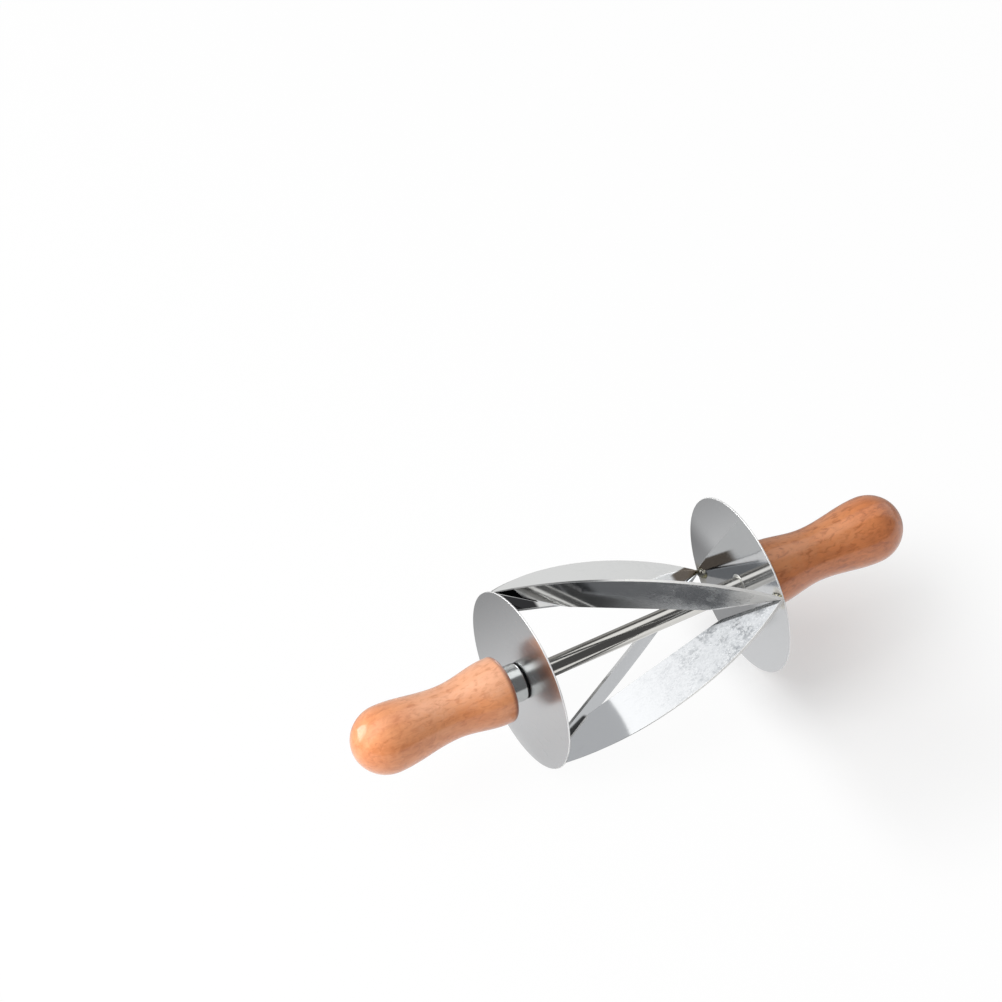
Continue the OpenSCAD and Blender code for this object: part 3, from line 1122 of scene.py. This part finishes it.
    @staticmethod
    def cut(work: bmesh.types.BMesh, point: Vector, normal: Vector) -> None:
        """Trim a working mesh at a plane and close it there.

        Args:
            work: The working mesh.
            point: A point of the plane, in millimetres.
            normal: Direction of what is kept.
        """
        geometry = [*work.verts, *work.edges, *work.faces]
        done = bmesh.ops.bisect_plane(
            work, geom=geometry, dist=CUT_SLACK, plane_co=point * MM, plane_no=normal, clear_inner=True
        )
        rim = [part for part in done["geom_cut"] if isinstance(part, bmesh.types.BMEdge)]
        if rim:
            bmesh.ops.edgeloop_fill(work, edges=rim)

    def round_edges(self, work: bmesh.types.BMesh) -> None:
        """Break the sharp edges.

        Args:
            work: The working mesh.
        """
        bmesh.ops.remove_doubles(work, verts=work.verts, dist=BLADE_SLACK)
        bmesh.ops.dissolve_degenerate(work, edges=work.edges, dist=BLADE_SLACK)
        least = math.radians(self.rounded_from)
        sharp = [edge for edge in work.edges if len(edge.link_faces) == 2 and edge.calc_face_angle(0.0) > least]
        size = self.edge_round * MM
        bmesh.ops.bevel(work, geom=sharp, offset=size, segments=2, profile=0.5, affect="EDGES", clamp_overlap=True)

    def dress(self) -> None:
        """Place the blade."""
        self.place(self.build(), self.finish, f"{self.name}_blade", "blade_steel")


@dataclass
class WeldBead(SubAssembly):
    """Short rippled bead of weld on the inner face of a disc."""

    name: str
    side: Side
    start: Span
    heading: Span
    body: ClassVar[str] = "cage"
    disc_x: float = 57.6
    length: float = 9.3
    width: float = 5.0
    height: float = 1.5
    ripples: int = 3
    swell: float = 0.82
    ripple_rise: float = 0.16
    lump_rise: float = 0.2
    spread: float = 0.92
    ripple_spread: float = 0.08
    sunk: float = 0.02
    sharp_degrees: float = 60.0
    rows: int = 36
    columns: int = 18
    seed: float = 0.0
    finish: Finish = HeatedBead("heated_bead")

    def build(self) -> bpy.types.Mesh:
        """Heap the bead up over the disc.

        Returns:
            Its mesh.
        """
        mesh = bpy.data.meshes.new(f"{self.name}_weld_bead")
        work = bmesh.new()
        along = Vector((0.0, *self.heading)).normalized()
        across = Vector((1.0, 0.0, 0.0)).cross(along)
        grid = []
        for i in range(self.rows + 1):
            share = i / self.rows
            full = math.sqrt(max(1.0 - abs(2 * share - 1.0) ** 3.0, 0.0))
            wave = math.cos(2 * math.pi * self.ripples * share)
            line = []
            for j in range(self.columns + 1):
                offset = 2 * j / self.columns - 1.0
                lump = noise.noise(Vector((3.0 * share + self.seed, 1.5 * offset, self.seed)))
                dome = self.height * full * math.sqrt(max(1.0 - offset**2, 0.0))
                rise = dome * (self.swell - self.ripple_rise * wave + self.lump_rise * lump)
                out = offset * self.width / 2 * full * (self.spread - self.ripple_spread * wave)
                base = Vector((0.0, *self.start)) + along * (share * self.length) + across * out
                level = self.side.value * (self.disc_x - max(rise, -self.sunk))
                line.append(work.verts.new((base + Vector((level, 0, 0))) * MM))
            grid.append(line)
        for first, second in zip(grid, grid[1:]):
            for j in range(self.columns):
                work.faces.new((first[j], first[j + 1], second[j + 1], second[j]))
        bmesh.ops.remove_doubles(work, verts=work.verts, dist=BEAD_SLACK)
        rim = [edge for edge in work.edges if edge.is_boundary]
        bmesh.ops.edgeloop_fill(work, edges=rim)
        return closed_mesh(mesh, work, self.sharp_degrees)

    def dress(self) -> None:
        """Place the bead."""
        self.place(self.build(), self.finish, f"{self.name}_weld", "weld_steel")


@dataclass
class BladeCage:
    """Discs, bushes, blades and welds that spin on the rod."""

    turn: float = 58.0
    radius: float = 43.0
    inner_x: float = 57.6
    swing: float = 1.1
    right_weld_inset: float = 0.2
    left_weld_inset: float = 0.3
    left_weld_gap: float = 1.93
    left_weld_width: float = 2.4
    left_weld_height: float = 1.3
    right_heat_inset: float = 3.5
    left_heat_inset: float = 4.0

    @property
    def back_slant(self) -> float:
        """Slant of the back blades, in degrees."""
        return math.degrees(math.atan(self.radius * math.sin(math.pi / 4) / self.inner_x)) - self.swing

    @property
    def back_shift(self) -> float:
        """Distance of the back blades' planes from the cage's middle."""
        return math.hypot(self.inner_x, self.radius * math.sin(math.pi / 4)) * math.sin(math.radians(self.swing))

    def forms(self) -> dict[str, BladeForm]:
        """Forms of the four blades.

        Returns:
            Each blade's form by its name.
        """
        slant = self.back_slant + self.swing
        front, back = self.turn + 90.0, self.turn + 270.0
        upper_back = BladeForm(self.turn - 45.0, self.back_slant, True, back, self.back_shift)
        lower_back = BladeForm(self.turn + 225.0, -self.back_slant, True, front, -self.back_shift)
        return {
            "upper_front": BladeForm(self.turn + 45.0, -slant, False, back, 0.0, upper_back),
            "upper_back": upper_back,
            "lower_front": BladeForm(self.turn + 135.0, slant, False, front, 0.0, lower_back),
            "lower_back": lower_back,
        }

    def rim_place(self, degrees: float, inset: float) -> Span:
        """Place on a disc at an angle round the rod, some way in from its rim."""
        turn = math.radians(degrees)
        return (self.radius - inset) * math.cos(turn), (self.radius - inset) * math.sin(turn)

    def beads(self) -> list[WeldBead]:
        """Beads at the four blade points.

        Returns:
            The weld beads.
        """
        made = []
        for name, degrees in (("right_front", self.turn + 90.0), ("right_back", self.turn + 270.0)):
            out = self.rim_place(degrees, 0.0)
            start = self.rim_place(degrees, self.right_weld_inset)
            made.append(WeldBead(name, Side.RIGHT, start, (-out[0], -out[1]), seed=degrees / 50))
        slant = math.radians(self.back_slant)
        beside = self.inner_x * math.tan(slant) - self.back_shift / math.cos(slant) - self.left_weld_gap
        out = self.radius * math.cos(math.pi / 4) - self.left_weld_inset
        size = {"width": self.left_weld_width, "height": self.left_weld_height}
        for name, middle, hand in (("left_top", self.turn - 45.0, 1.0), ("left_bottom", self.turn + 225.0, -1.0)):
            cosine, sine = math.cos(math.radians(middle)), math.sin(math.radians(middle))
            start = (out * cosine - hand * beside * sine, out * sine + hand * beside * cosine)
            made.append(WeldBead(name, Side.LEFT, start, (-cosine, -sine), seed=middle / 40, **size))
        return made

    def dress(self) -> None:
        """Build and place everything that spins."""
        right_heat = tuple(self.rim_place(self.turn + angle, self.right_heat_inset) for angle in (90.0, 270.0))
        left_heat = tuple(self.rim_place(self.turn + angle, self.left_heat_inset) for angle in (0.0, 180.0))
        EndDisc(Side.LEFT, DiscSteel("left_disc_steel", weld_places=left_heat)).dress()
        EndDisc(Side.RIGHT, DiscSteel("right_disc_steel", weld_places=right_heat)).dress()
        for side in Side:
            HubBush(side).dress()
        sheets = {
            "upper_front": SheetSteel("upper_front_sheet", painted_haze=1.0),
            "lower_front": SheetSteel("lower_front_sheet", end_line=1.0),
            "upper_back": SheetSteel("upper_back_sheet", (0.64, 0.645, 0.64), frost=0.1, scorch=1.0, heat=1.0),
            # Painted shade: the lower back sheet is the same steel as the other blades, in a darker tone.
            "lower_back": SheetSteel("lower_back_sheet", (0.39, 0.407, 0.428), frost=0.1),
        }
        for name, form in self.forms().items():
            ends = (1.0,) if name == "lower_front" else (-1.0, 1.0)
            Blade(name, form, sheets[name], bevelled_ends=ends).dress()
        for bead in self.beads():
            bead.dress()


@dataclass
class GripSet:
    """Rod, handles, inserts, ferrules and washers that the hands hold still."""

    def dress(self) -> None:
        """Build and place everything that stays with the hands."""
        AxleRod().dress()
        woods = {
            Side.LEFT: LacqueredBeech("beech_left"),
            Side.RIGHT: LacqueredBeech(
                "beech_right",
                pale=(0.84, 0.28, 0.088),
                deep=(0.58, 0.165, 0.045),
                ray=(0.43, 0.10, 0.024),
                sap=(0.93, 0.40, 0.18),
                figure=0.65,
                pore_share=0.3,
                shift=11.0,
            ),
        }
        for side in Side:
            Handle(side, woods[side]).dress()
            Ferrule(side).dress()
            ThrustWasher(side).dress()
            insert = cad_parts[f"{side.word}_handle_insert"]
            insert.data.materials.clear()
            insert.data.materials.append(TurnedBrass("turned_brass").material())
            LOG.info("%s keeps its solid", insert.name)


@dataclass
class Studio:
    """Worktop, soft light, surroundings and camera."""

    floor_z: float = -0.043
    floor_reach: float = 6.0
    floor_cells: int = 8
    camera_place: Triple = (-0.8330, -1.3860, 1.6727)
    camera_right: Triple = (0.86509, -0.50121, -0.01991)
    camera_up: Triple = (0.36360, 0.59925, 0.71322)
    lens: float = 184.11
    sensor: float = 36.0
    clip: Span = (0.01, 50.0)
    key_place: Triple = (-0.78, 0.37, 1.34)
    key_size: float = 1.2
    key_power: float = 10.0
    side_place: Triple = (-1.20, 0.12, 0.71)
    side_size: float = 0.7
    side_power: float = 12.5
    ambient: Colour = (0.38, 0.38, 0.38)
    front_right: Colour = (0.08, 0.08, 0.082)
    front_left: Colour = (0.27, 0.27, 0.275)
    ceiling_left: Colour = (1.55, 1.55, 1.55)
    ceiling_right: Colour = (1.03, 1.03, 1.03)
    back_low: Colour = (0.42, 0.41, 0.40)
    back_high: Colour = (0.1, 0.1, 0.1)
    window_tone: Colour = (6.5, 6.5, 6.5)

    def worktop(self) -> None:
        """Lay the pale worktop."""
        mesh = bpy.data.meshes.new("worktop")
        work = bmesh.new()
        cells = self.floor_cells
        bmesh.ops.create_grid(work, x_segments=cells, y_segments=cells, size=self.floor_reach)
        bmesh.ops.translate(work, verts=work.verts, vec=(0.0, 0.0, self.floor_z))
        work.to_mesh(mesh)
        work.free()
        sheet = bpy.data.objects.new("worktop", mesh)
        bpy.context.scene.collection.objects.link(sheet)
        mesh.materials.append(PaleWorktop("pale_worktop").material())

    @staticmethod
    def light(name: str, place: Triple, size: float, power: float) -> None:
        """Hang a soft square light that faces the roller and that mirrors don't show.

        Args:
            name: The light's name.
            place: Where it hangs.
            size: Its edge length in metres.
            power: Its power in watts.
        """
        data = bpy.data.lights.new(name, "AREA")
        data.shape = "SQUARE"
        data.size = size
        data.energy = power
        lamp = bpy.data.objects.new(name, data)
        lamp.location = place
        lamp.visible_glossy = False
        lamp.rotation_mode = "QUATERNION"
        lamp.rotation_quaternion = (-Vector(place)).to_track_quat("-Z", "Y")
        bpy.context.scene.collection.objects.link(lamp)

    def surroundings(self) -> None:
        """Fill the world: white to the camera, even to matt surfaces, and a room for mirrors."""
        world = bpy.data.worlds.new("studio")
        bpy.context.scene.world = world
        world.use_nodes = True
        graph = Graph(world.node_tree)
        way = graph.node("ShaderNodeTexCoord", output="Generated")
        across, ahead, up = (graph.axis(way, letter) for letter in "XYZ")
        front = graph.blend(across.ramp(0.2, -0.7), self.front_right, self.front_left)
        ceiling = graph.blend(across.ramp(-0.3, 0.4), self.ceiling_left, self.ceiling_right)
        room = graph.blend(ahead.ramp(-0.04, -0.25), ceiling, front)
        behind = graph.blend(up.ramp(0.15, 0.6), self.back_low, self.back_high)
        room = graph.blend(ahead.ramp(0.44, 0.6), room, behind)
        window = across.ramp(-0.46, -0.54) * ahead.ramp(0.38, 0.46) * up.ramp(0.60, 0.50)
        room = graph.blend(window, room, self.window_tone)
        seen, mirrored, through = graph.rays()
        shown = graph.blend(mirrored.most(through), self.ambient, room)
        shown = graph.blend(seen, shown, WHITE)
        back = graph.node("ShaderNodeBackground", inputs={"Color": shown, "Strength": 1.0})
        graph.node("ShaderNodeOutputWorld", inputs={"Surface": back})

    def camera(self) -> None:
        """Set the camera at the picture's viewing angle."""
        right, up = Vector(self.camera_right).normalized(), Vector(self.camera_up).normalized()
        back = right.cross(up)
        data = bpy.data.cameras.new("camera")
        data.sensor_width = self.sensor
        data.lens = self.lens
        data.clip_start, data.clip_end = self.clip
        camera = bpy.data.objects.new("camera", data)
        turn = Matrix((right, up, back)).transposed().to_4x4()
        camera.matrix_world = Matrix.Translation(Vector(self.camera_place)) @ turn
        bpy.context.scene.collection.objects.link(camera)
        bpy.context.scene.camera = camera

    def set_up(self) -> None:
        """Build the studio and choose the plain view transform."""
        bpy.context.scene.view_settings.view_transform = "Standard"
        self.worktop()
        self.light("key", self.key_place, self.key_size, self.key_power)
        self.light("side", self.side_place, self.side_size, self.side_power)
        self.surroundings()
        self.camera()


def write_sizes() -> None:
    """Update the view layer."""
    bpy.context.view_layer.update()


def main() -> None:
    """Build the studio, the grips and the cage in order."""
    logging.basicConfig(level=logging.INFO, format="%(name)s: %(message)s")
    Studio().set_up()
    GripSet().dress()
    BladeCage().dress()
    write_sizes()


if __name__ == "__main__":
    main()
